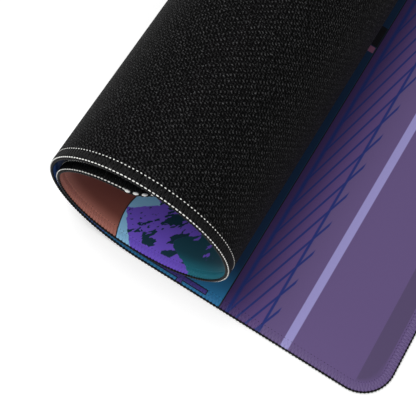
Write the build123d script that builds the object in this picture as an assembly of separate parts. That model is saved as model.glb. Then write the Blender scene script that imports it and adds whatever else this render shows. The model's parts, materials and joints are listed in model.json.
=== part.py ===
from build123d import *
from math import cos, degrees, pi, radians, sin
import os

# A stitched-edge desk mat, partly rolled up with its printed side inwards.
# X runs along the mat's long side: the flat part is at +X and the roll at -X.
# Y runs along the roll's axis and Z is up. The origin is at the bottom centre of the whole mat.
# Millimetres throughout.

# Size of the flat mat
MAT_LENGTH = 914.0
MAT_WIDTH = 457.0
CORNER_RADIUS = 29.0

# Layers, as depths from the rubber face
BASE_THICKNESS = 2.5
CLOTH_THICKNESS = 0.5
MAT_THICKNESS = BASE_THICKNESS + CLOTH_THICKNESS

# Overlocked edge: the thread layer lies flush in a pressed-down margin
STITCH_WIDTH = 7.0
THREAD_DEPTH = 0.35
RIM_THREAD = 0.5
NEEDLE_LINE = 0.5

# The roll: the radius of the rubber face at a few angles of turn, straight lines between them
LINK_COUNT = 17
LINK_TURN = radians(31.0)
CURL_TURNS = [0.0, 45.0, 180.0, 330.0, 400.0, 470.0, 542.5]
CURL_RADII = [82.0, 87.0, 71.0, 76.0, 67.0, 49.5, 106.0]

# Room between two links, measured on the rubber face
LINK_GAP = 0.3

# Height of the tools that round the two inner corners
CUTTER_HEIGHT = 30.0


def curl_radius(turn):
    """Radius of the rubber face at an angle of turn, between the listed radii."""
    angle = degrees(turn)
    spans = zip(CURL_TURNS, CURL_TURNS[1:], CURL_RADII, CURL_RADII[1:])
    for low, high, first, last in spans:
        if angle <= high:
            return first + (last - first) * (angle - low) / (high - low)
    return CURL_RADII[-1]


class Arc:
    """One stretch of the roll with a single radius.

    The turn is 0 where the mat leaves the floor, heading to -X, and grows as it winds up and over.
    """

    def __init__(self, start_x, start_z, turn_from, turn_to, radius):
        self.turn_from = turn_from
        self.turn_to = turn_to
        self.radius = radius
        self.centre_x = start_x + radius * sin(turn_from)
        self.centre_z = start_z + radius * cos(turn_from)

    def point(self, depth, turn):
        """A point at a depth from the rubber face, as (x, z)."""
        reach = self.radius - depth
        return (self.centre_x - reach * sin(turn), self.centre_z - reach * cos(turn))

    def length(self):
        return self.radius * (self.turn_to - self.turn_from)


def wind_up():
    """The arcs of the roll: the lift-off, then one arc for each link."""
    half = LINK_TURN / 2
    arcs = [Arc(0.0, 0.0, 0.0, half, curl_radius(half / 2))]
    for number in range(1, LINK_COUNT + 1):
        start_x, start_z = arcs[-1].point(0.0, arcs[-1].turn_to)
        middle = number * LINK_TURN
        arcs.append(Arc(start_x, start_z, middle - half, middle + half, curl_radius(middle)))
    return arcs


ARCS = wind_up()
ROLLED_LENGTH = sum(arc.length() for arc in ARCS)
FLAT_LENGTH = MAT_LENGTH - ROLLED_LENGTH

# The rubber face's furthest place to -X, and the shift that puts the origin in the middle
LEFTMOST = min(arc.centre_x - arc.radius for arc in ARCS if arc.turn_from < pi / 2 <= arc.turn_to)
SHIFT_X = -(LEFTMOST + FLAT_LENGTH) / 2
FRONT = -MAT_WIDTH / 2
REAR = MAT_WIDTH / 2


def sector(arc, depth_from, depth_to, turn_from, turn_to, y_from, y_to):
    """A curved slab: between two depths, two turns and two places along Y."""
    middle = (turn_from + turn_to) / 2
    outer = [arc.point(depth_from, turn) for turn in (turn_from, middle, turn_to)]
    inner = [arc.point(depth_to, turn) for turn in (turn_to, middle, turn_from)]
    outline = [
        ThreePointArc(*outer),
        Line(outer[-1], inner[0]),
        ThreePointArc(*inner),
        Line(inner[-1], outer[0]),
    ]
    face = Plane.XZ * make_face(outline)
    slab = extrude(face, amount=y_to - y_from)
    return Pos(SHIFT_X, y_to, 0) * slab


def flat_slab(depth_from, depth_to, inset):
    """A flat slab over the part that lies down, with round corners at its +X end."""
    length = FLAT_LENGTH - inset
    width = MAT_WIDTH - 2 * inset
    height = depth_to - depth_from
    block = Pos(length / 2, 0, depth_from + height / 2) * Box(length, width, height)
    ends = block.edges().filter_by(Axis.Z).sort_by(Axis.X)[-2:]
    return Pos(SHIFT_X, 0, 0) * fillet(ends, CORNER_RADIUS - inset)


def corner_cutters(arc, inset):
    """What to take off the last link so that its two corners are round."""
    radius = CORNER_RADIUS - inset
    turn = arc.turn_to - inset / arc.radius - radius / arc.radius
    cutters = []
    for side in (-1, 1):
        edge = side * (MAT_WIDTH / 2 - inset)
        x, z = arc.point(0.0, turn)
        # X of this plane follows the mat, Y runs to a side and Z is the way through the mat
        along = Vector(-cos(turn), 0, sin(turn))
        through = along.cross(Vector(0, 1, 0))
        middle = Vector(x + SHIFT_X, edge - side * radius, z)
        plane = Plane(origin=middle, x_dir=along, z_dir=through)
        block = Pos(radius, side * radius, 0) * Box(2 * radius, 2 * radius, CUTTER_HEIGHT)
        block -= Cylinder(radius, CUTTER_HEIGHT)
        cutters.append(plane * block)
    return cutters


def link_slab(arc, depth_from, depth_to, inset, is_last):
    """One layer of a link, from side to side, with the inset kept clear of every free edge."""
    room = LINK_GAP / 2 / arc.radius
    turn_from = arc.turn_from + room
    turn_to = arc.turn_to - (inset / arc.radius if is_last else room)
    slab = sector(arc, depth_from, depth_to, turn_from, turn_to, FRONT + inset, REAR - inset)
    if is_last:
        for cutter in corner_cutters(arc, inset):
            slab -= cutter
    return slab


def lift_slab(depth_from, depth_to, inset):
    """One layer of the stretch that has begun to leave the floor but still belongs to the flat part."""
    arc = ARCS[0]
    turn_to = arc.turn_to - LINK_GAP / 2 / arc.radius
    return sector(arc, depth_from, depth_to, 0.0, turn_to, FRONT + inset, REAR - inset)


def build_layers(slab):
    """The five pieces of one stretch of the mat, from a function of two depths and an inset.

    The margin is pressed thinner and holds the threads flush: the lower looper thread under it
    and round the rim, the upper looper thread over it, and the needle thread along its inner side.
    """
    low_thread = THREAD_DEPTH
    high_thread = MAT_THICKNESS - THREAD_DEPTH
    inside = STITCH_WIDTH + NEEDLE_LINE
    base = slab(low_thread, BASE_THICKNESS, RIM_THREAD) + slab(0.0, low_thread, inside)
    cloth = slab(BASE_THICKNESS, high_thread, RIM_THREAD) + slab(high_thread, MAT_THICKNESS, inside)
    lower = slab(0.0, high_thread, 0.0) - slab(low_thread, high_thread, RIM_THREAD)
    lower -= slab(0.0, low_thread, STITCH_WIDTH)
    upper = slab(high_thread, MAT_THICKNESS, 0.0) - slab(high_thread, MAT_THICKNESS, STITCH_WIDTH)
    needle = Compound(
        children=[
            slab(low, high, STITCH_WIDTH) - slab(low, high, inside)
            for low, high in ((0.0, low_thread), (high_thread, MAT_THICKNESS))
        ]
    )
    return base, cloth, lower, upper, needle


def save(shape, name):
    """One STEP file per named node."""
    shape.label = name
    export_step(shape, f"parts/{name}.step")


def build_flat_part():
    """The stretch that lies on the desk, with the start of the curl."""

    def slab(depth_from, depth_to, inset):
        return flat_slab(depth_from, depth_to, inset) + lift_slab(depth_from, depth_to, inset)

    base, cloth, lower, upper, needle = build_layers(slab)
    save(base, "rubber_base_flat")
    save(cloth, "cloth_top_flat")
    save(lower, "lower_looper_thread_flat")
    save(upper, "upper_looper_thread_flat")
    save(needle, "needle_thread_flat")


def build_link(number):
    """One rolled stretch of the mat, which turns against its neighbours."""
    is_last = number == LINK_COUNT

    def slab(depth_from, depth_to, inset):
        return link_slab(ARCS[number], depth_from, depth_to, inset, is_last)

    base, cloth, lower, upper, needle = build_layers(slab)
    save(base, f"rubber_base_roll_{number:02d}")
    save(cloth, f"cloth_top_roll_{number:02d}")
    threads = [solid for piece in (lower, upper, needle) for solid in piece.solids()]
    save(Compound(children=threads), f"edge_threads_roll_{number:02d}")


os.makedirs("parts", exist_ok=True)
build_flat_part()
for link_number in range(1, LINK_COUNT + 1):
    build_link(link_number)

print(f"rolled {ROLLED_LENGTH:.2f}, flat {FLAT_LENGTH:.2f}, shift {SHIFT_X:.3f}")
for link_number, link_arc in enumerate(ARCS[1:], start=1):
    hinge_x, hinge_z = link_arc.point(0.0, link_arc.turn_from)
    print(f"hinge {link_number:02d}: x {hinge_x + SHIFT_X:.4f}, z {hinge_z:.4f}, radius {link_arc.radius:.2f}")
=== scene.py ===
import json
import math

import bpy
import numpy as np
from mathutils import Matrix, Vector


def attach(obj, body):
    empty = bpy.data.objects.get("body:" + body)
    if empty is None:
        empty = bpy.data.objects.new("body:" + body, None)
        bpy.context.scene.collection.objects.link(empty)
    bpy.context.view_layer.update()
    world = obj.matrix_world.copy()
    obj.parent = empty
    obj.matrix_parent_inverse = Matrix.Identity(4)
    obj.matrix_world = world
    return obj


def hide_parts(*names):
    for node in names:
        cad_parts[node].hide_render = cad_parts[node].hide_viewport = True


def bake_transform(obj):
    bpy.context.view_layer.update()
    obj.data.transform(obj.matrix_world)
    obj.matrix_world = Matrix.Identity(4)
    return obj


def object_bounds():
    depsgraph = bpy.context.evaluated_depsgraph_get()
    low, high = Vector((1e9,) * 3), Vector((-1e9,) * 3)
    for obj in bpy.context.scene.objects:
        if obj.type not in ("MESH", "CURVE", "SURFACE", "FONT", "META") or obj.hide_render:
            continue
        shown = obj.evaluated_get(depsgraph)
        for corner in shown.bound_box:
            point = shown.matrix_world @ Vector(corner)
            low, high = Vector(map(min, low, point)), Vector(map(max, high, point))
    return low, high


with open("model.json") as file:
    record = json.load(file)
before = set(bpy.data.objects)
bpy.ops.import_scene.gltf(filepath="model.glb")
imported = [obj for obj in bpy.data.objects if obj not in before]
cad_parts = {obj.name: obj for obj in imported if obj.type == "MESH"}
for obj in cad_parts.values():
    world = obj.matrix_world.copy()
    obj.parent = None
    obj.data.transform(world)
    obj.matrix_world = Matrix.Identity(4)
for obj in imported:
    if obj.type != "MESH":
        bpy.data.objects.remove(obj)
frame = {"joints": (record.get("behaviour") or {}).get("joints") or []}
cad_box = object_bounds()

MM = 0.001

# The mat, in metres
MAT_WIDTH = 457 * MM
FRONT = -MAT_WIDTH / 2
CORNER_RADIUS = 29 * MM
THICKNESS = 3.0 * MM

# The roll is wound from arcs of one turn each, which meet at the hinges
LINK_TURN = math.radians(31)
HALF_TURN = LINK_TURN / 2
LAST_RADIUS = 93.92 * MM

# Overlocked edge
STITCH_PITCH = 3.0 * MM

# How finely the sheets are cut
FIELD_STEPS = 12
CORNER_STEPS = 8

JOINTS = sorted(frame["joints"], key=lambda joint: joint["name"])
LINKS = len(JOINTS)
BODIES = ["flat_part"] + [f"roll_link_{number:02d}" for number in range(1, LINKS + 1)]


# ---------------------------------------------------------------- shape of the roll

def roll_arcs():
    """The arcs of the rubber face, read from the hinges.

    A chord between two hinges is twice the radius times the sine of half a turn. The first hinge's
    height over the desk gives the radius of the lift-off, and each centre lies one radius from
    its arc's start, square to the mat there.
    """
    hinge = np.array([joint["pos_m"] for joint in JOINTS])[:, [0, 2]]
    chords = np.hypot(*np.diff(hinge, axis=0).T)
    lift = hinge[0, 1] / (1 - math.cos(HALF_TURN))
    radii = np.concatenate([[lift], chords / (2 * math.sin(HALF_TURN)), [LAST_RADIUS]])
    start = np.vstack([[hinge[0, 0] + lift * math.sin(HALF_TURN), 0.0], hinge])
    turns = np.concatenate([[0.0], HALF_TURN + LINK_TURN * np.arange(LINKS)])
    spans = np.concatenate([[HALF_TURN], np.full(LINKS, LINK_TURN)])
    centres = start + radii[:, None] * np.stack([np.sin(turns), np.cos(turns)], 1)
    runs = np.concatenate([[0.0], np.cumsum(radii * spans)])
    return radii, turns, centres, runs


RADII, TURNS, CENTRES, RUNS = roll_arcs()
LIFT_X = CENTRES[0, 0]
FLAT_END = LIFT_X - cad_box[1][0]
INNER_END = RUNS[-1]
LENGTH = INNER_END - FLAT_END
MIDDLES = np.concatenate([[0.0], RUNS[1:-1] + RADII[1:] * HALF_TURN])

# The last stretch over a hinge is cut short, so that both round corners lie in the inner end
LAST_REACH = INNER_END - CORNER_RADIUS - 2.0 * MM - RUNS[-2]
MIDDLES[-1] = RUNS[-2] + LAST_REACH


def on_mat(run, across, depth):
    """Points of the mat as (x, y, z).

    run is the way along the rubber face from where it leaves the desk: less than nothing on the
    flat part and growing into the roll. A point stands at its arc's centre, less the radius short
    of the depth, times the sine and cosine of the turn. across is the way from the front edge.
    """
    run, across, depth = np.broadcast_arrays(run, across, depth)
    arc = np.clip(np.searchsorted(RUNS, run, side="right") - 1, 0, LINKS)
    turn = TURNS[arc] + (run - RUNS[arc]) / RADII[arc]
    reach = RADII[arc] - depth
    rolled_x = CENTRES[arc, 0] - reach * np.sin(turn)
    rolled_z = CENTRES[arc, 1] - reach * np.cos(turn)
    x = np.where(run < 0, LIFT_X - run, rolled_x)
    z = np.where(run < 0, depth, rolled_z)
    return np.stack([x, FRONT + across, z], -1)


# ---------------------------------------------------------------- meshes

def mat_piece(name, run, across, inset, depth, faces, material, sharp=40):
    """A mesh on the mat, with its place on the mat kept as an attribute for the print."""
    points = on_mat(run, across, depth)
    mesh = bpy.data.meshes.new(name)
    mesh.from_pydata(points.reshape(-1, 3).tolist(), [], faces)
    place = np.stack(np.broadcast_arrays(run - FLAT_END, across, inset), -1)
    kept = mesh.attributes.new("mat_place", "FLOAT_VECTOR", "POINT")
    kept.data.foreach_set("vector", place.astype(np.float32).ravel())
    mesh.polygons.foreach_set("use_smooth", np.ones(len(mesh.polygons), bool))
    mesh.set_sharp_from_angle(angle=math.radians(sharp))
    mesh.materials.append(material)
    mesh.validate()
    return placed(name, mesh)


def placed(name, data):
    """A new object in the scene, at the origin."""
    obj = bpy.data.objects.new(name, data)
    bpy.context.scene.collection.objects.link(obj)
    return obj


def grid_faces(rows, columns, first=0):
    """Four-cornered faces between neighbours of a grid that is stored row by row."""
    corner = first + np.arange(rows - 1)[:, None] * columns + np.arange(columns - 1)
    return np.stack([corner, corner + 1, corner + columns + 1, corner + columns], -1).reshape(-1, 4)


def strip_layout(run_from, run_to, insets, columns):
    """A stretch of the mat from edge to edge, as run, across, inset, faces and border.

    Rows follow the two edges at the given insets and spread evenly between the innermost two.
    """
    field = np.linspace(insets[-1], MAT_WIDTH - insets[-1], FIELD_STEPS)[1:-1]
    across = np.concatenate([insets, field, MAT_WIDTH - np.array(insets)[::-1]])
    run = np.linspace(run_from, run_to, columns + 1)
    run, across = np.meshgrid(run, across)
    rows, places = run.shape
    index = np.arange(rows * places).reshape(rows, places)
    border = np.concatenate([index[0, :-1], index[:-1, -1], index[-1, :0:-1], index[:0:-1, 0]])
    inset = np.minimum(across, MAT_WIDTH - across)
    return run.ravel(), across.ravel(), inset.ravel(), grid_faces(rows, places), border


def end_layout(run_from, run_end, insets, columns):
    """A stretch that ends in two round corners, as run, across, inset, faces and border.

    A field inside the innermost inset narrows as the corner's circle does: its half width is the
    straight half width less the corner's radius, plus the circle's height there. Bands then run
    round three sides, each one further out along the outline's own direction. A point's inset
    is its distance from the nearest side or, in a corner, the corner's radius less its distance
    from the circle's centre.
    """
    way = math.copysign(1, run_end - run_from)
    inner = insets[-1]
    radius = CORNER_RADIUS - inner
    bend = np.linspace(0, math.pi / 2, CORNER_STEPS + 1)[1:]
    straight_to = run_end - way * CORNER_RADIUS
    straight = np.linspace(run_from, straight_to, columns + 1)
    run_line = np.concatenate([straight, straight_to + way * radius * np.sin(bend)])
    tilt = np.concatenate([np.zeros(columns + 1), bend])
    half = MAT_WIDTH / 2 - CORNER_RADIUS + radius * np.cos(tilt)
    share = np.linspace(-1, 1, FIELD_STEPS + 1)
    run, _ = np.meshgrid(run_line, share)
    across = MAT_WIDTH / 2 + share[:, None] * half[None, :]
    rows, places = run.shape
    index = np.arange(rows * places).reshape(rows, places)
    faces = [grid_faces(rows, places)]
    loop = np.concatenate([index[0, :], index[1:-1, -1], index[-1, ::-1]])
    along = np.concatenate([np.sin(tilt), np.ones(rows - 2), np.sin(tilt)[::-1]])
    aside = np.concatenate([-np.cos(tilt), np.zeros(rows - 2), np.cos(tilt)[::-1]])
    run_all, across_all = [run.ravel()], [across.ravel()]
    from_end, from_side = way * (run_end - run), np.minimum(across, MAT_WIDTH - across)
    corner = np.clip(CORNER_RADIUS - np.stack([from_end, from_side]), 0, None)
    in_corner = corner.min(0) > 0
    from_border = np.minimum(from_end, from_side)
    field_inset = np.where(in_corner, CORNER_RADIUS - np.hypot(*corner), from_border)
    inset_all = [np.maximum(field_inset, inner).ravel()]
    last = loop
    for inset in insets[-2::-1]:
        out = inner - inset
        run_all.append(run.ravel()[loop] + way * along * out)
        across_all.append(across.ravel()[loop] + aside * out)
        inset_all.append(np.full(loop.size, inset))
        new = np.arange(loop.size) + sum(part.size for part in run_all[:-1])
        faces.append(np.stack([last[1:], last[:-1], new[:-1], new[1:]], -1))
        last = new
    count = sum(part.size for part in run_all)
    ring_first = [index[0, 0]] + [count - (step + 1) * loop.size for step in range(len(insets) - 1)][::-1]
    ring_last = [index[-1, 0]] + [first + loop.size - 1 for first in ring_first[1:]]
    border = np.concatenate([last, ring_last[-2::-1], index[-2:0:-1, 0], ring_first[:-1]])
    return tuple(map(np.concatenate, (run_all, across_all, inset_all, faces))) + (border,)


def sheet_piece(name, layout, low, high, material):
    """A closed sheet between two depths, each a curve over the inset from the edge.

    The layout is laid twice, once at each depth, and a wall joins the two along its border.
    """
    run, across, inset, faces, border = layout
    count = run.size
    depth = np.concatenate([np.interp(inset, *high), np.interp(inset, *low)])
    beyond = np.roll(border, -1)
    wall = np.stack([border, beyond, beyond + count, border + count], -1)
    twice = [np.tile(values, 2) for values in (run, across, inset)]
    everything = np.concatenate([faces, faces[:, ::-1] + count, wall])
    obj = mat_piece(name, *twice, depth, everything.tolist(), material)
    face_outwards(obj)
    return obj


def face_outwards(obj):
    """Turns a closed mesh right side out: its signed volume decides whether it has to flip."""
    mesh = obj.data
    mesh.calc_loop_triangles()
    corners = np.empty(len(mesh.vertices) * 3)
    mesh.vertices.foreach_get("co", corners)
    corners = corners.reshape(-1, 3)
    triangles = np.empty(len(mesh.loop_triangles) * 3, int)
    mesh.loop_triangles.foreach_get("vertices", triangles)
    a, b, c = corners[triangles.reshape(-1, 3).T]
    if np.einsum("ij,ij->i", a, np.cross(b, c)).sum() < 0:
        mesh.flip_normals()


# ---------------------------------------------------------------- stitches

STRAIGHT_LONG = LENGTH - 2 * CORNER_RADIUS
STRAIGHT_SHORT = MAT_WIDTH - 2 * CORNER_RADIUS
QUARTER = CORNER_RADIUS * math.pi / 2
ROUND = 2 * (STRAIGHT_LONG + STRAIGHT_SHORT) + 4 * QUARTER
STITCHES = int(ROUND / STITCH_PITCH)
STITCH = ROUND / STITCHES


def on_edge(way, inset):
    """The place on the mat, as run and across, a way round its outline and an inset from it.

    The outline is four straight sides and four quarter circles. It starts at the flat end's front
    corner and goes along the front edge, up the inner end, back along the rear and down the flat end.
    """
    way, inset = np.broadcast_arrays(np.mod(way, ROUND), inset)
    half_long, half_short = STRAIGHT_LONG / 2, STRAIGHT_SHORT / 2
    sides = np.array([STRAIGHT_LONG, STRAIGHT_SHORT, STRAIGHT_LONG, STRAIGHT_SHORT])
    starts = np.concatenate([[0.0], np.cumsum(sides + QUARTER)[:-1]])
    side = np.clip(np.searchsorted(starts, way, side="right") - 1, 0, 3)
    along = way - starts[side]
    bend = np.clip((along - sides[side]) / CORNER_RADIUS, 0, None)
    step = np.minimum(along, sides[side])
    heading = side * math.pi / 2
    corner_x = np.array([-half_long, half_long, half_long, -half_long])[side]
    corner_y = np.array([-half_short, -half_short, half_short, half_short])[side]
    reach = CORNER_RADIUS - inset
    x = corner_x + step * np.cos(heading) + reach * np.sin(heading + bend)
    y = corner_y + step * np.sin(heading) - reach * np.cos(heading + bend)
    return FLAT_END + LENGTH / 2 + x, MAT_WIDTH / 2 + y


def bead(length, width, height, neck=0.25, around=6, along=5):
    """A small closed bead: circles whose radius follows half a sine, down to a neck at each end."""
    tip = np.linspace(0, math.pi, along)
    turn = np.linspace(0, 2 * math.pi, around, endpoint=False)
    swell = np.clip(np.sin(tip), neck, 1)[:, None]
    way = np.repeat(-np.cos(tip)[:, None] * length / 2, around, 1)
    inset = swell * np.cos(turn) * width / 2
    depth = swell * np.sin(turn) * height / 2
    return close_rings(way, inset, depth)


def close_rings(way, inset, depth):
    """Joins rings of points into a closed shape: rings in rows, with a cap at each end."""
    rings, around = way.shape
    first = np.arange(rings - 1)[:, None] * around + np.arange(around)
    beside = np.arange(rings - 1)[:, None] * around + np.roll(np.arange(around), -1)
    faces = np.stack([first, first + around, beside + around, beside], -1).reshape(-1, 4).tolist()
    faces.append(list(range(around)))
    faces.append(list(range(rings * around - 1, (rings - 1) * around - 1, -1)))
    return np.stack([way.ravel(), inset.ravel(), depth.ravel()], -1), faces


def strand(way_from, way_to, inset_from, inset_to, width, level, rise, crown):
    """A thread laid across the edge band: an arch in section that follows a low bow.

    Its line goes straight from one place to the other, and its height over the band is an arch
    across the thread, the square root of one less the offset squared, plus the bow's half sine.
    The arch is flatter towards the thread's two ends.
    """
    share = np.linspace(0, 1, 5)[:, None]
    offset = np.array([-1.0, -0.6, 0.0, 0.6, 1.0])[None, :]
    way = way_from + (way_to - way_from) * share + offset * width / 2
    inset = inset_from + (inset_to - inset_from) * share + 0 * offset
    arch = np.sqrt(1 - offset ** 2)
    bow = np.sin(math.pi * share)
    depth = level + rise * arch * (0.35 + 0.65 * bow ** 0.5) + crown * bow
    return close_rings(way, inset, depth + 0 * way)


def joined(*shapes):
    """Several shapes as one: their points in a row, with the faces counted on."""
    points, faces, count = [], [], 0
    for shape_points, shape_faces in shapes:
        points.append(shape_points)
        faces += [[corner + count for corner in face] for face in shape_faces]
        count += len(shape_points)
    return np.concatenate(points), faces


def moved(shape, way=0.0, inset=0.0, depth=0.0):
    """The same shape further along, further in or deeper."""
    return shape[0] + np.array([way, inset, depth]), shape[1]


def stitched(name, shape, places, material):
    """One shape repeated at every place round the edge, laid on the mat point by point."""
    points, faces = shape
    way = places[:, None] + points[None, :, 0]
    inset = np.broadcast_to(points[None, :, 1], way.shape)
    depth = np.broadcast_to(points[None, :, 2], way.shape)
    run, across = on_edge(way.ravel(), inset.ravel())
    count = len(points)
    sizes = {}
    for face in faces:
        sizes.setdefault(len(face), []).append(face)
    everything = []
    for same in sizes.values():
        copies = np.array(same)[None] + count * np.arange(len(places))[:, None, None]
        everything += copies.reshape(-1, len(same[0])).tolist()
    return mat_piece(name, run, across, inset.ravel(), depth.ravel(), everything, material, sharp=75)


# ---------------------------------------------------------------- materials

def colour(red, green, blue):
    """A screen colour from 0 to 255 as linear light."""
    value = np.array([red, green, blue]) / 255
    linear = np.where(value <= 0.04045, value / 12.92, ((value + 0.055) / 1.055) ** 2.4)
    return (*linear.tolist(), 1.0)


class Graph:
    """Short names for making nodes in one node tree."""

    def __init__(self, tree):
        self.tree = tree

    def node(self, kind, **settings):
        made = self.tree.nodes.new(kind)
        for key, value in settings.items():
            setattr(made, key, value)
        return made

    def put(self, socket, value):
        if isinstance(value, bpy.types.NodeSocket):
            self.tree.links.new(value, socket)
        else:
            socket.default_value = value

    def math(self, operation, first, second=0.0, third=0.0, clamp=False):
        made = self.node("ShaderNodeMath", operation=operation, use_clamp=clamp)
        for socket, value in zip(made.inputs, (first, second, third)):
            self.put(socket, value)
        return made.outputs[0]

    def vector(self, operation, first, second):
        made = self.node("ShaderNodeVectorMath", operation=operation)
        self.put(made.inputs[0], first)
        self.put(made.inputs[1], second)
        return made.outputs["Value" if operation == "DOT_PRODUCT" else "Vector"]

    def mix(self, factor, first, second, blend="MIX"):
        made = self.node("ShaderNodeMix", data_type="RGBA", blend_type=blend)
        self.put(made.inputs[0], factor)
        self.put(made.inputs[6], first)
        self.put(made.inputs[7], second)
        return made.outputs[2]

    def split(self, vector):
        made = self.node("ShaderNodeSeparateXYZ")
        self.put(made.inputs[0], vector)
        return made.outputs

    def noise(self, vector, scale, detail=2.0, roughness=0.5):
        made = self.node("ShaderNodeTexNoise")
        self.put(made.inputs["Vector"], vector)
        made.inputs["Scale"].default_value = scale
        made.inputs["Detail"].default_value = detail
        made.inputs["Roughness"].default_value = roughness
        return made.outputs["Fac"]

    def between(self, value, low, high, soft=0.25):
        """1 between two values and 0 outside them, with soft borders."""
        rise = self.step(value, low, soft)
        fall = self.step(value, high, soft)
        return self.math("SUBTRACT", rise, fall, clamp=True)

    def grey(self, value):
        """A grey of that value."""
        made = self.node("ShaderNodeCombineColor")
        for socket in made.inputs:
            self.put(socket, value)
        return made.outputs[0]

    def step(self, value, edge, soft=0.25):
        """0 below the edge and 1 above it, over a short slope."""
        made = self.node("ShaderNodeMapRange", clamp=True)
        self.put(made.inputs["Value"], value)
        made.inputs["From Min"].default_value = edge - soft
        made.inputs["From Max"].default_value = edge + soft
        return made.outputs["Result"]

    def slope(self, value, low, high):
        """0 at the first value and 1 at the second, with a smooth rise between them."""
        made = self.node("ShaderNodeMapRange", clamp=True, interpolation_type="SMOOTHSTEP")
        self.put(made.inputs["Value"], value)
        made.inputs["From Min"].default_value = low
        made.inputs["From Max"].default_value = high
        return made.outputs["Result"]


def group(name, inputs, outputs):
    """An empty node group with the given sockets, and the graph to fill it with."""
    tree = bpy.data.node_groups.new(name, "ShaderNodeTree")
    for label, kind, value in inputs:
        socket = tree.interface.new_socket(name=label, in_out="INPUT", socket_type=kind)
        if value is not None:
            socket.default_value = value
    for label, kind in outputs:
        tree.interface.new_socket(name=label, in_out="OUTPUT", socket_type=kind)
    graph = Graph(tree)
    return tree, graph, graph.node("NodeGroupInput").outputs, graph.node("NodeGroupOutput").inputs


PURPLE = colour(98, 80, 126)
# the print's pinker purple near the roll, also a little darker there as painted shade
SHADED_PURPLE = colour(95, 72, 126)
# painted shade: the purple's colour close to the roll, where the roll shades the flat part
ROLL_SHADE_PURPLE = colour(62, 42, 98)
GREY_PURPLE = colour(84, 70, 106)
LAVENDER = colour(152, 145, 200)
NAVY = colour(30, 46, 116)
KEY_BLACK = colour(10, 10, 18)
BLUE = colour(40, 118, 168)
STEEL_BLUE = colour(62, 98, 165)
MID_BLUE = colour(48, 84, 150)
INDIGO = colour(54, 58, 132)
BAR_VIOLET = colour(70, 58, 140)
# painted shade on the blue band, away from its edges
SHADED_BLUE = colour(9, 44, 78)
DEEP_TEAL = colour(8, 50, 66)
TEAL = colour(10, 64, 78)
# painted light: the teal's colour near the edges, where light reaches into the roll
LIT_TEAL = colour(24, 112, 128)
VIOLET = colour(114, 84, 206)
LIGHT_BLUE = colour(140, 196, 230)
TERRACOTTA = colour(118, 64, 54)
# painted light: the terracotta's colour where the inside of the roll is lit
LIT_TERRACOTTA = colour(176, 112, 98)
ROSE = colour(140, 88, 120)

# Where the print changes, in millimetres from the flat end, up to the curved borders and beyond them
OUTER_BANDS = [
    (108.0, SHADED_PURPLE), (143.0, KEY_BLACK), (144.2, BLUE), (252.0, STEEL_BLUE), (300.0, KEY_BLACK),
    (301.2, MID_BLUE), (352.0, DEEP_TEAL), (452.0, STEEL_BLUE), (470.0, DEEP_TEAL), (560.0, TEAL),
]
INNER_BANDS = [(866.0, KEY_BLACK), (867.2, VIOLET), (884.0, ROSE), (892.0, INDIGO)]


def block(g, first, second, grow=0.0):
    """1 inside a rectangle of the print, grown on every side. Each side is a value and its range."""
    sides = [g.between(value, low - grow, high + grow) for value, low, high in (first, second)]
    return g.math("MULTIPLY", *sides)


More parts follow.
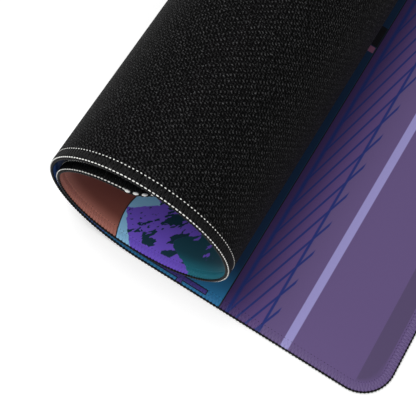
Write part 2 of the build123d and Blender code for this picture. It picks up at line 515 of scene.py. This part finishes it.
def print_and_light_group():
    """The print: stripes along the mat, a fan of hatch lines, and blotches where two colours meet, with
    painted shade near the roll and painted light near the edges.
    """
    sockets = [("Place", "NodeSocketVector", None)], [("Color", "NodeSocketColor")]
    tree, g, given, out = group("desk_mat_print_and_painted_light", *sockets)
    place = g.vector("SCALE", given["Place"], (0, 0, 0))
    place.node.inputs["Scale"].default_value = 1000.0
    along, across, inset = g.split(place)

    # bands across the mat, a darker one inside the stitched margin, and a pale stripe that leans a little
    base = PURPLE
    for start, shade in OUTER_BANDS:
        base = g.mix(g.step(along, start), base, shade)
    # painted shade: from 104 mm to 143 mm the purple darkens smoothly towards the roll, standing in for
    # the roll's shadow
    painted_roll_shade = g.math("MULTIPLY", g.slope(along, 104.0, 150.0), g.between(along, 104.0, 143.0))
    base = g.mix(painted_roll_shade, base, ROLL_SHADE_PURPLE)
    within = g.math("MULTIPLY", g.between(along, 9.0, 24.0), g.step(inset, 8.5, 0.6))
    base = g.mix(within, base, GREY_PURPLE)
    leaning = g.math("MULTIPLY_ADD", across, 0.0068, along)
    base = g.mix(g.between(leaning, 81.0, 88.0), base, LAVENDER)
    # painted shade: the blue band darkens from 5 mm to 42 mm in from the edges, standing in for the
    # roll's shade
    painted_blue_shade = g.math("MULTIPLY", g.between(along, 144.2, 252.0), g.slope(inset, 5.0, 42.0))
    base = g.mix(painted_blue_shade, base, SHADED_BLUE)
    # painted light: within 17 mm of the edges the teal turns paler, standing in for light that reaches
    # into the roll's open sides
    painted_edge_light = g.slope(inset, 17.0, 3.0)
    base = g.mix(g.math("MULTIPLY", g.step(along, 560.0), painted_edge_light), base, LIT_TEAL)

    # violet begins along a wave, with blotches of teal in it and flecks of it in the teal
    stretched = g.node("ShaderNodeCombineXYZ")
    g.put(stretched.inputs["X"], g.vector("DOT_PRODUCT", place, (-0.40, 0.40, 0)))
    g.put(stretched.inputs["Y"], g.vector("DOT_PRODUCT", place, (0.85, 0.85, 0)))
    stretched = stretched.outputs[0]
    wave = g.math("COSINE", g.math("MULTIPLY", across, 2 * math.pi / 42))
    ragged = g.noise(stretched, 0.16, 3.0, 0.6)
    border = g.math("MULTIPLY_ADD", wave, 13.5, g.math("MULTIPLY_ADD", ragged, 10.0, along))
    in_violet = g.step(border, 660.5)
    base = g.mix(in_violet, base, VIOLET)
    flecks = g.step(g.noise(stretched, 0.12, 3.0, 0.55), 0.64, 0.004)
    base = g.mix(g.math("MULTIPLY", flecks, g.between(along, 622.0, 655.0)), base, VIOLET)

    # the key line is a long wave, with a zigzag of light blue before it and terracotta after it
    swing = g.math("SINE", g.math("MULTIPLY", across, 2 * math.pi / 100))
    past_key = g.math("MULTIPLY_ADD", swing, -6.0, g.math("SUBTRACT", along, 711.0))
    blotches = g.step(g.noise(stretched, 0.088, 3.0, 0.55), 0.535, 0.004)
    speckles = g.step(g.noise(stretched, 0.2, 3.0, 0.6), 0.575, 0.004)
    blotches = g.math("MULTIPLY", blotches, g.between(past_key, -66.0, -22.0))
    speckles = g.math("MULTIPLY", speckles, g.between(past_key, -30.0, -2.0))
    dark_spots = g.math("MULTIPLY", g.math("MAXIMUM", blotches, speckles), in_violet)
    base = g.mix(g.math("MULTIPLY", dark_spots, g.step(inset, 7.5, 0.5)), base, DEEP_TEAL)
    edge_side = g.math("MULTIPLY", g.math("SUBTRACT", 25.0, across), 0.53)
    far_side = g.math("MULTIPLY", g.math("PINGPONG", g.math("SUBTRACT", across, 25.0), 16.0), 1.15)
    far_side = g.math("MULTIPLY", far_side, g.step(across, 25.0))
    zigzag = g.math("ADD", past_key, g.math("MAXIMUM", edge_side, far_side))
    zigzag = g.math("MULTIPLY_ADD", g.math("SUBTRACT", ragged, 0.5), 5.0, zigzag)
    base = g.mix(g.step(zigzag, 0.0), base, LIGHT_BLUE)
    base = g.mix(g.step(past_key, 0.0), base, KEY_BLACK)
    # painted light: the terracotta is paler near the edges and past about 815 mm, where the inside of the
    # roll is lit
    terracotta = g.mix(painted_edge_light, TERRACOTTA, LIT_TERRACOTTA)
    terracotta = g.mix(g.math("MULTIPLY", g.step(along, 815.0, 32.0), 0.6), terracotta, LIT_TERRACOTTA)
    base = g.mix(g.step(past_key, 0.9), base, terracotta)
    for start, shade in INNER_BANDS:
        base = g.mix(g.step(along, start), base, shade)

    # hatch: a fan of slanting lines that end past the first of two lines along the stripe. A line
    # that starts further from the front edge slants more, and lies further from the one before it
    off = g.math("SUBTRACT", along, 101.4)
    reach = g.math("MULTIPLY_ADD", off, 2.7, g.math("SUBTRACT", across, 25.0))
    reach = g.math("DIVIDE", reach, g.math("MULTIPLY_ADD", off, -0.005, 1.0))
    reach = g.math("DIVIDE", reach, 27.0)
    beat = g.math("MULTIPLY", reach, g.math("MULTIPLY_ADD", reach, -0.0122, 1.0))
    beat = g.math("FRACT", g.math("ADD", beat, 4.5))
    hatch = g.between(beat, 0.5 - 0.095, 0.5 + 0.095, 0.03)
    hatch = g.math("MULTIPLY", hatch, g.between(along, 101.4, 138.0, 0.3))
    first_line = g.between(along, 106.6, 108.7, 0.4)
    second_line = g.between(along, 135.0, 138.2, 0.9)
    lines = g.math("MAXIMUM", hatch, g.math("MAXIMUM", first_line, second_line))
    base = g.mix(lines, base, NAVY)

    # small plain blocks on the blue, the bars with a dark outline
    for grow, shade in ((0.8, KEY_BLACK), (0.0, BAR_VIOLET)):
        bar = block(g, (along, 158.0, 214.0), (across, 3.6, 6.8), grow)
        tie = block(g, (along, 179.0, 183.0), (across, 0.6, 10.4), grow)
        base = g.mix(g.math("MAXIMUM", bar, tie), base, shade)
    base = g.mix(block(g, (along, 144.2, 176.0), (across, 272.0, 294.0)), base, KEY_BLACK)
    base = g.mix(block(g, (along, 144.8, 152.0), (across, 265.0, 271.0)), base, ROSE)
    g.put(out["Color"], base)
    return tree


# The grip's waves: how many to a metre along the mat and across it, and how much each counts
GRIP_WAVES = [(445, 82, 0.30), (145, 500, 0.30), (291, 290, 0.25), (-148, 209, 0.15)]


def grip_group():
    """The rubber's grip texture: small humps on a skewed lattice, uneven from hump to hump.

    Two sets of parallel waves cross at a slant. Their sum, and that of their sums and differences,
    stands up in short rows of dots, and a noise makes some dots taller than others.
    """
    sockets = [("Place", "NodeSocketVector", None)], [("Height", "NodeSocketFloat")]
    tree, g, given, out = group("rubber_grip", *sockets)
    shake = g.node("ShaderNodeTexNoise")
    g.put(shake.inputs["Vector"], given["Place"])
    shake.inputs["Scale"].default_value = 320.0
    shake.inputs["Detail"].default_value = 1.0
    jitter = g.vector("SUBTRACT", shake.outputs["Color"], (0.5, 0.5, 0.5))
    jitter = g.vector("MULTIPLY", jitter, (0.0024, 0.0024, 0.0))
    place = g.vector("ADD", given["Place"], jitter)
    total = 0.0
    for wave_along, wave_across, weight in GRIP_WAVES:
        phase = g.vector("DOT_PRODUCT", place, (2 * math.pi * wave_along, 2 * math.pi * wave_across, 0))
        total = g.math("MULTIPLY_ADD", g.math("COSINE", phase), weight, total)
    uneven = g.noise(place, 700.0, 2.0, 0.6)
    lifted = g.math("MULTIPLY_ADD", total, 0.5, 0.5, clamp=True)
    height = g.math("MULTIPLY", g.math("POWER", lifted, 1.6), g.math("MULTIPLY_ADD", uneven, 1.5, 0.1))
    g.put(out["Height"], height)
    return tree


def fibre_group():
    """Fine weave: two sets of short waves at right angles, broken up by a small noise."""
    tree, g, given, out = group(
        "fine_weave",
        [("Place", "NodeSocketVector", None), ("Pitch", "NodeSocketFloat", 0.0007)],
        [("Height", "NodeSocketFloat")],
    )
    turns = g.math("DIVIDE", 2 * math.pi, given["Pitch"])
    along, across, _ = g.split(given["Place"])
    first = g.math("SINE", g.math("MULTIPLY", along, turns))
    second = g.math("SINE", g.math("MULTIPLY", across, turns))
    woven = g.math("MULTIPLY_ADD", g.math("MULTIPLY", first, second), 0.35, 0.5)
    fuzz = g.noise(given["Place"], 1500.0, 2.0, 0.6)
    g.put(out["Height"], g.math("MULTIPLY_ADD", fuzz, 0.6, g.math("MULTIPLY", woven, 0.6)))
    return tree


PRINT_AND_LIGHT, GRIP, FIBRE = print_and_light_group(), grip_group(), fibre_group()


def new_material(name, roughness, **constants):
    """A material with its shader's constant values set, its graph, and the mat's place."""
    material = bpy.data.materials.new(name)
    material.use_nodes = True
    material.node_tree.nodes.clear()
    g = Graph(material.node_tree)
    shader = g.node("ShaderNodeBsdfPrincipled")
    shader.inputs["Roughness"].default_value = roughness
    for label, value in constants.items():
        shader.inputs[label.replace("_", " ")].default_value = value
    g.put(g.node("ShaderNodeOutputMaterial").inputs["Surface"], shader.outputs[0])
    place = g.node("ShaderNodeAttribute", attribute_name="mat_place").outputs["Vector"]
    return material, g, shader, place


def use_group(g, tree, **values):
    """The outputs of a group placed with these values on its inputs."""
    made = g.node("ShaderNodeGroup", node_tree=tree)
    for label, value in values.items():
        g.put(made.inputs[label], value)
    return made.outputs


def bumped(g, shader, height, distance, strength=1.0):
    """Feeds a height in metres to the shader's normal."""
    bump = g.node("ShaderNodeBump")
    bump.inputs["Strength"].default_value = strength
    bump.inputs["Distance"].default_value = distance
    g.put(bump.inputs["Height"], height)
    g.put(shader.inputs["Normal"], bump.outputs[0])


def rubber_material():
    """Black rubber with the grip texture, painted darker in its hollows, and pale specks painted into its
    colour as highlights where its humps catch the light.
    """
    material, g, shader, place = new_material("black_grip_rubber", 0.6, Specular_IOR_Level=0.04)
    height = use_group(g, GRIP, Place=place)["Height"]
    # painted highlights: pale specks in the base colour on the taller humps, with a lower roughness there
    painted_glints = g.noise(place, 1000.0, 1.0, 0.5)
    painted_glints = g.math("MULTIPLY", g.step(painted_glints, 0.57, 0.12), g.step(height, 0.45, 0.25))
    # painted shade: the rubber's colour is darker in the hollows between its humps
    ground = g.mix(height, colour(0, 0, 0), colour(18, 18, 19))
    g.put(shader.inputs["Base Color"], g.mix(painted_glints, ground, colour(84, 84, 85)))
    g.put(shader.inputs["Roughness"], g.math("MULTIPLY_ADD", painted_glints, -0.2, 0.7))
    bumped(g, shader, height, 0.5 * MM)
    return material


def printed_material(name, roughness, pitch, contrast, least, **constants):
    """Woven or spun polyester with the print in it, with painted light and shade from the weave: lighter
    where it stands up, darker in its hollows.
    """
    material, g, shader, place = new_material(name, roughness, **constants)
    print_and_light = use_group(g, PRINT_AND_LIGHT, Place=place)["Color"]
    height = use_group(g, FIBRE, Place=place, Pitch=pitch)["Height"]
    # painted light and shade: the print is made darker in the weave's hollows and lighter on its raised
    # threads
    shade = g.math("MULTIPLY_ADD", height, contrast, least)
    g.put(shader.inputs["Base Color"], g.mix(1.0, print_and_light, g.grey(shade), "MULTIPLY"))
    bumped(g, shader, height, 0.05 * MM)
    return material


def thread_material(name, dark, light, roughness):
    """Spun thread of one colour, with painted shade between its fibres, where it is darker."""
    material, g, shader, place = new_material(name, roughness, Specular_IOR_Level=0.15)
    height = use_group(g, FIBRE, Place=place, Pitch=0.0005)["Height"]
    # painted shade: the thread's colour is darker in the hollows between its fibres
    g.put(shader.inputs["Base Color"], g.mix(height, dark, light))
    bumped(g, shader, height, 0.06 * MM)
    return material


RUBBER = rubber_material()
CLOTH = printed_material(
    "printed_cloth", 0.8, 0.9 * MM, 0.16, 0.9,
    Sheen_Weight=0.12, Sheen_Roughness=0.4, Specular_IOR_Level=0.25,
)
PRINTED_THREAD = printed_material("printed_thread", 0.6, 0.5 * MM, 0.22, 0.94, Specular_IOR_Level=0.4)
BLACK_THREAD = thread_material("black_thread", colour(1, 1, 1), colour(15, 15, 16), 0.55)
WHITE_THREAD = thread_material("white_thread", colour(190, 190, 186), colour(250, 250, 246), 0.5)


# ---------------------------------------------------------------- the mat

INSETS = [value * MM for value in (0.5, 3.5, 6.7, 7.4, 8.4)]
CLOTH_TOP = (INSETS, [value * MM for value in (2.56, 2.62, 2.62, 2.86, 3.0)])
BOND = (INSETS, [value * MM for value in (2.2, 2.2, 2.2, 2.4, 2.5)])
RUBBER_BACK = (INSETS, [value * MM for value in (0.42, 0.38, 0.38, 0.16, 0.0)])

# Threads of one stitch, each a shape of its own
UPPER_STITCH = joined(
    strand(0.0, 1.5 * MM, 7.1 * MM, 0.6 * MM, 1.5 * MM, 2.60 * MM, 0.32 * MM, 0.12 * MM),
    strand(3.0 * MM, 1.5 * MM, 7.1 * MM, 0.6 * MM, 1.5 * MM, 2.58 * MM, 0.30 * MM, 0.11 * MM),
)
LOWER_STITCH = joined(
    strand(0.0, 1.5 * MM, 7.0 * MM, 0.3 * MM, 1.35 * MM, 0.44 * MM, -0.36 * MM, -0.10 * MM),
    strand(3.0 * MM, 1.5 * MM, 7.0 * MM, 0.3 * MM, 1.35 * MM, 0.46 * MM, -0.32 * MM, -0.08 * MM),
    moved(bead(3.1 * MM, 2.2 * MM, 2.3 * MM, neck=0.5), inset=0.1 * MM, depth=2.05 * MM),
    # painted shade: small black thread beads on the print side, standing in for the shaded needle holes
    moved(bead(0.9 * MM, 0.45 * MM, 0.3 * MM), inset=7.7 * MM, depth=2.93 * MM),
)
NEEDLE_STITCH = joined(
    moved(bead(1.5 * MM, 0.8 * MM, 0.5 * MM), inset=7.4 * MM, depth=0.12 * MM),
    moved(bead(2.2 * MM, 1.0 * MM, 1.0 * MM), way=1.5 * MM, inset=0.4 * MM, depth=0.6 * MM),
)
LOOSE_STITCH = joined(
    moved(bead(1.5 * MM, 0.8 * MM, 0.5 * MM), inset=7.4 * MM, depth=0.12 * MM),
    moved(bead(1.5 * MM, 0.8 * MM, 0.5 * MM), way=3.0 * MM, inset=7.4 * MM, depth=0.12 * MM),
    moved(bead(4.0 * MM, 2.3 * MM, 2.0 * MM), way=1.5 * MM, inset=0.1 * MM, depth=0.6 * MM),
)


def piece_range(number):
    """Where a stretch begins and ends: the flat part, one stretch over each hinge, the inner end."""
    if number == 0:
        return FLAT_END, 0.0
    if number > LINKS:
        return MIDDLES[-1], INNER_END
    return MIDDLES[number - 1], MIDDLES[number]


def piece_layout(number):
    """The layout of a stretch, which is a plain strip except at the mat's two ends."""
    begins, ends = piece_range(number)
    if number == 0:
        return end_layout(ends, begins, INSETS, 24)
    if number > LINKS:
        return end_layout(begins, ends, INSETS, 3)
    return strip_layout(begins, ends, INSETS, 14)


def join_body(obj, number):
    """Ties a stretch at either end of the mat to its body, and bakes a stretch over a hinge where it was
    built.
    """
    if number == 0:
        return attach(obj, BODIES[0])
    if number > LINKS:
        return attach(obj, BODIES[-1])
    begins, ends = piece_range(number)
    if number == LINKS:
        begins = RUNS[-2] - LAST_REACH
    start, end = on_mat(np.array([begins, ends]), MAT_WIDTH / 2, THICKNESS / 2)
    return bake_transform(obj)


def cad_nodes(number, flat_nodes, roll_node):
    """The CAD nodes that a stretch stands for."""
    if number == 0:
        return flat_nodes
    return [f"{roll_node}_{min(number, LINKS):02d}"]


stitch_places = STITCH * (np.arange(STITCHES) + 0.5)
stitch_runs = on_edge(stitch_places, np.zeros(STITCHES))[0]
borders = np.concatenate([[FLAT_END - 1.0, 0.0], MIDDLES[1:], [INNER_END + 1.0]])
stitch_stretch = np.searchsorted(borders, stitch_runs) - 1

def build_stretch(number):
    """The five pieces of one stretch: cloth, rubber and the three threads of its edge."""
    layout = piece_layout(number)
    label = f"{number:02d}"
    places = stitch_places[stitch_stretch == number]
    cloth = sheet_piece(f"cloth_sheet_{label}", layout, BOND, CLOTH_TOP, CLOTH)
    rubber = sheet_piece(f"rubber_sheet_{label}", layout, RUBBER_BACK, BOND, RUBBER)
    upper = stitched(f"upper_looper_{label}", UPPER_STITCH, places, PRINTED_THREAD)
    lower = stitched(f"lower_looper_{label}", LOWER_STITCH, places, BLACK_THREAD)
    if number > LINKS:
        needle = stitched(f"needle_line_{label}", LOOSE_STITCH, places[::2], WHITE_THREAD)
    else:
        needle = stitched(f"needle_line_{label}", NEEDLE_STITCH, places, WHITE_THREAD)
    for piece, slot in (
        (cloth, "cloth_top"), (rubber, "rubber_base"), (upper, "upper_looper_thread"),
        (lower, "lower_looper_thread"), (needle, "needle_thread"),
    ):
        join_body(piece, number)
    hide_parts(*cad_nodes(number, ["cloth_top_flat"], "cloth_top_roll"))
    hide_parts(*cad_nodes(number, ["rubber_base_flat"], "rubber_base_roll"))
    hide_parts(*cad_nodes(number, ["lower_looper_thread_flat"], "edge_threads_roll"))
    if number == 0:
        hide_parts("upper_looper_thread_flat")
        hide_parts("needle_thread_flat")


for stretch in range(LINKS + 2):
    build_stretch(stretch)


# ---------------------------------------------------------------- light, floor and camera

FLOOR_HALF = 3.0
FLOOR_LEVEL = -0.4 * MM
FLOOR_SHADE = 0.82
FLOOR_GLOW = 0.3
SKY_LIGHT = 0.33
SKY_SEEN = 1.0
LAMP_TARGET = (0.0, 0.0, 0.05)
CAMERA_PLACE = (-0.00626, -0.41175, 0.72938)
CAMERA_TARGET = (-0.04380, -0.16232, 0.0)
CAMERA_ROLL = math.radians(23.649)
CAMERA_LENS = 82.92


def aimed(obj, place, target, roll=0.0):
    """Puts a lamp or camera at a place, facing the target, level and then turned by the roll."""
    back = np.array(place, float) - np.array(target, float)
    back /= np.linalg.norm(back)
    right = np.cross((0, 0, 1), back)
    right /= np.linalg.norm(right)
    up = np.cross(back, right)
    turned_right = right * math.cos(roll) + up * math.sin(roll)
    turned_up = up * math.cos(roll) - right * math.sin(roll)
    axes = np.stack([turned_right, turned_up, back], 1)
    obj.matrix_world = Matrix([[*row, value] for row, value in zip(axes, place)] + [[0, 0, 0, 1]])


def make_floor():
    """A pale floor, with a little light of its own that only the camera and reflections see."""
    mesh = bpy.data.meshes.new("floor")
    corners = [(-1, -1), (1, -1), (1, 1), (-1, 1)]
    points = [(FLOOR_HALF * x, FLOOR_HALF * y, FLOOR_LEVEL) for x, y in corners]
    mesh.from_pydata(points, [], [(0, 1, 2, 3)])
    floor = placed("floor", mesh)
    material = bpy.data.materials.new("pale_floor")
    material.use_nodes = True
    material.node_tree.nodes.clear()
    g = Graph(material.node_tree)
    plain = g.node("ShaderNodeBsdfDiffuse")
    plain.inputs["Color"].default_value = (FLOOR_SHADE, FLOOR_SHADE, FLOOR_SHADE, 1)
    glow = g.node("ShaderNodeEmission")
    path = g.node("ShaderNodeLightPath").outputs
    seen = g.math("MAXIMUM", path["Is Camera Ray"], path["Is Glossy Ray"])
    g.put(glow.inputs["Strength"], g.math("MULTIPLY", seen, FLOOR_GLOW))
    both = g.node("ShaderNodeAddShader")
    g.put(both.inputs[0], plain.outputs[0])
    g.put(both.inputs[1], glow.outputs[0])
    g.put(g.node("ShaderNodeOutputMaterial").inputs["Surface"], both.outputs[0])
    mesh.materials.append(material)


def area_light(name, place, size, power):
    """A square lamp that faces the mat."""
    data = bpy.data.lights.new(name, "AREA")
    data.shape = "SQUARE"
    data.size = size
    data.energy = power
    aimed(placed(name, data), place, LAMP_TARGET)


def make_world():
    """A white sky, which the camera sees brighter than it lights the mat."""
    world = bpy.data.worlds.new("soft_sky")
    world.use_nodes = True
    world.node_tree.nodes.clear()
    g = Graph(world.node_tree)
    sky = g.node("ShaderNodeBackground")
    sky.inputs["Color"].default_value = (1, 1, 1, 1)
    path = g.node("ShaderNodeLightPath").outputs
    seen = g.math("MAXIMUM", path["Is Camera Ray"], path["Is Transmission Ray"])
    g.put(sky.inputs["Strength"], g.math("MULTIPLY_ADD", seen, SKY_SEEN - SKY_LIGHT, SKY_LIGHT))
    g.put(g.node("ShaderNodeOutputWorld").inputs["Surface"], sky.outputs[0])
    bpy.context.scene.world = world


def make_camera():
    """The camera, above the front edge and turned so that the mat lies across the view."""
    data = bpy.data.cameras.new("camera")
    data.sensor_width = 36.0
    data.lens = CAMERA_LENS
    data.clip_start = 0.01
    camera = placed("camera", data)
    aimed(camera, CAMERA_PLACE, CAMERA_TARGET, CAMERA_ROLL)
    bpy.context.scene.camera = camera


make_floor()
make_world()
area_light("window", (-0.5, -0.3, 1.6), 0.8, 17.5)
area_light("front_fill", (0.0, -1.6, 0.7), 0.9, 8.0)
make_camera()
bpy.context.scene.view_settings.view_transform = "Standard"
